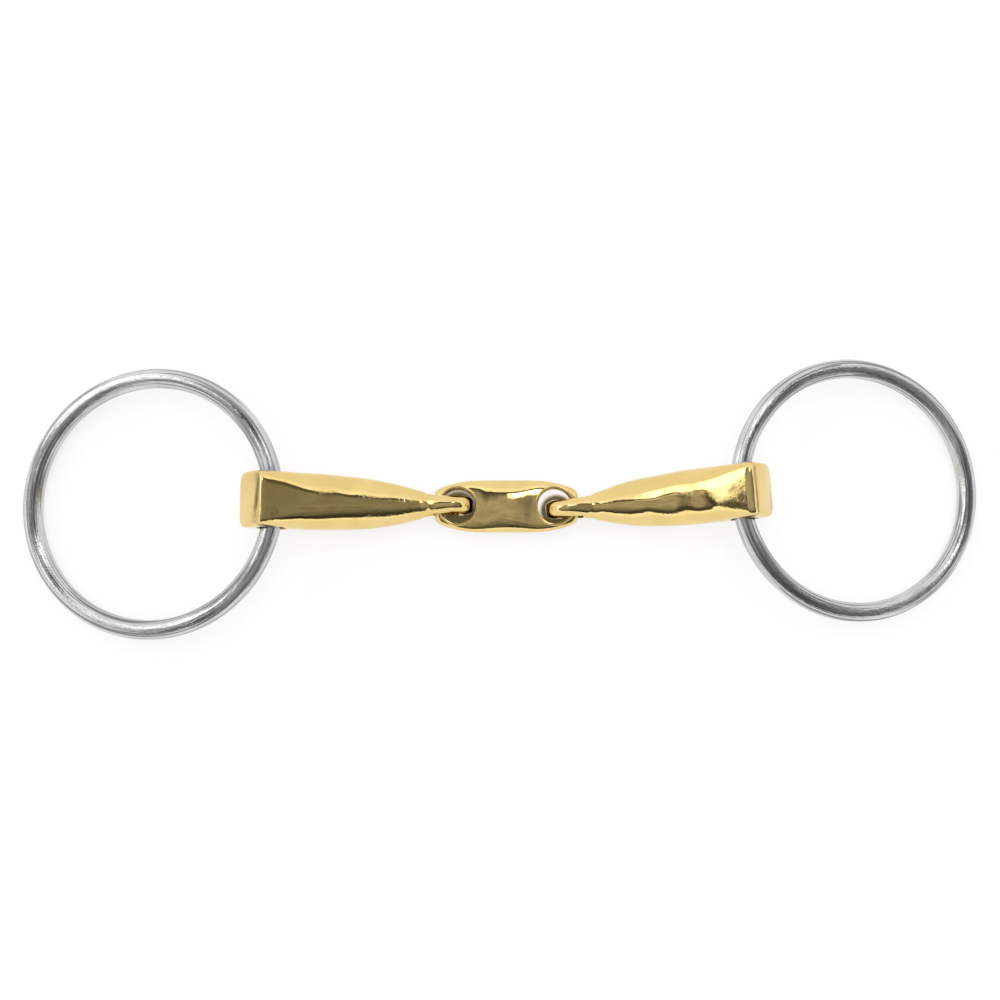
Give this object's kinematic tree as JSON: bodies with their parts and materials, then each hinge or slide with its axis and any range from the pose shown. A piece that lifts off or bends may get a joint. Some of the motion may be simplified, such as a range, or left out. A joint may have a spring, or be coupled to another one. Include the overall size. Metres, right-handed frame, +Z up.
{
  "type": "loose ring snaffle bit",
  "caption": "Horse bit: two curved gold-coloured cannons joined by a flat centre link, with a loose steel ring running through a bore in each outer end.",
  "frame": {"origin": "centre of the box round the whole bit, on the surface that it lies on", "axes": "+X along the mouthpiece from the left ring to the right ring, +Y across the mouthpiece, +Z up from the surface"},
  "size_m": [0.2514, 0.0736, 0.0238],
  "materials": {
    "mouthpiece_alloy": "polished gold-coloured copper alloy, clear soft reflections",
    "ring_steel": "stainless steel wire polished nearly to a mirror"
  },
  "bodies": {
    "link": {"centre_link": "mouthpiece_alloy"},
    "left_cannon": {"cannon_left": "mouthpiece_alloy"},
    "right_cannon": {"cannon_right": "mouthpiece_alloy"},
    "left_ring": {"ring_left": "ring_steel"},
    "right_ring": {"ring_right": "ring_steel"}
  },
  "joints": [
    {"name": "left_cannon_fold", "type": "hinge", "parent": "link", "child": "left_cannon", "pos_m": [-0.0133, -0.00225, 0.00565], "axis": [0, 0, 1], "range_deg": [-44.4, 45.6]},
    {"name": "right_cannon_fold", "type": "hinge", "parent": "link", "child": "right_cannon", "pos_m": [0.012, -0.00225, 0.00565], "axis": [0, 0, 1], "range_deg": [-49.5, 40.5]},
    {"name": "left_ring_swing", "type": "hinge", "parent": "left_cannon", "child": "left_ring", "pos_m": [-0.06019, -0.00156, 0.01605], "axis": [-0.0105, -0.9999, 0], "range_deg": [-120, 120]},
    {"name": "right_ring_swing", "type": "hinge", "parent": "right_cannon", "child": "right_ring", "pos_m": [0.06022, 0.00064, 0.01605], "axis": [-0.0785, 0.9969, 0], "range_deg": [-120, 120]}
  ]
}
